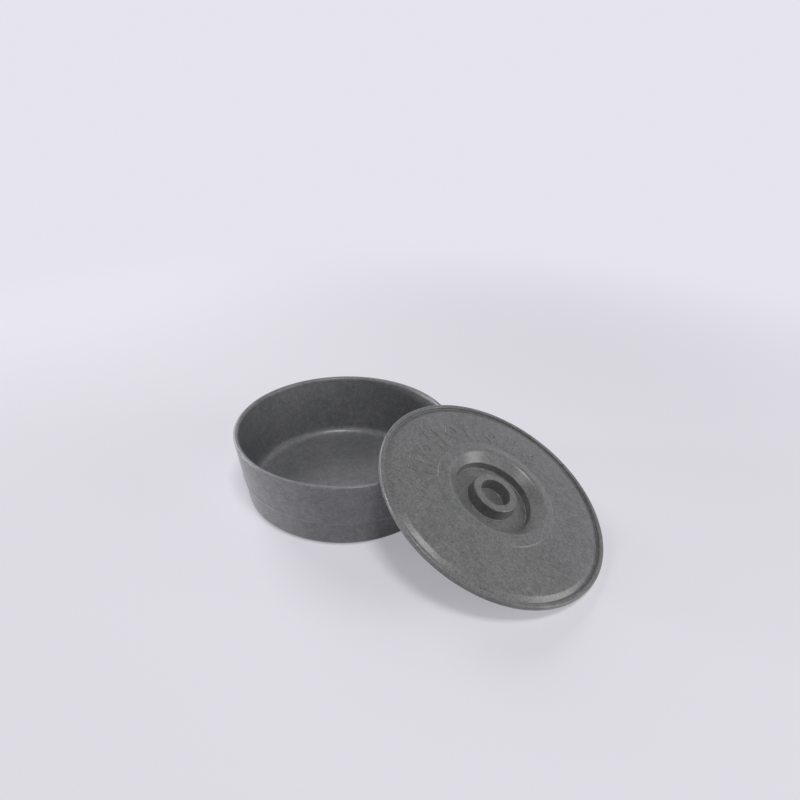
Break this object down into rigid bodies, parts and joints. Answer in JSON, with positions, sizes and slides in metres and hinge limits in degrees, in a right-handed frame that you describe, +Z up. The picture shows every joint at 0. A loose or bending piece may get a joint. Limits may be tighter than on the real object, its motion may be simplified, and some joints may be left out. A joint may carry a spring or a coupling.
{
  "type": "tortilla warmer",
  "caption": "Round, thick-walled tortilla warmer: a tapered bowl and a lift-off lid with a finger knob in a dished well. The lid is off and leans on the bowl's rim.",
  "frame": {"origin": "centre of the bowl's foot, on the surface it stands on", "axes": "+Z up along the bowl's axis; +X from the bowl towards the lid that leans on its rim"},
  "size_m": [0.3631, 0.215, 0.0929],
  "materials": {
    "bowl_plastic": "matte dark grey with a fine stone-effect speckle",
    "lid_plastic": "matte dark grey with a fine stone-effect speckle"
  },
  "bodies": {
    "bowl": {"bowl": "bowl_plastic"},
    "lid": {"lid": "lid_plastic"}
  },
  "joints": [
    {"name": "lid_lift", "type": "slide", "parent": "bowl", "child": "lid", "axis": [0, 0, 1], "range_m": [0, 0.15]}
  ]
}
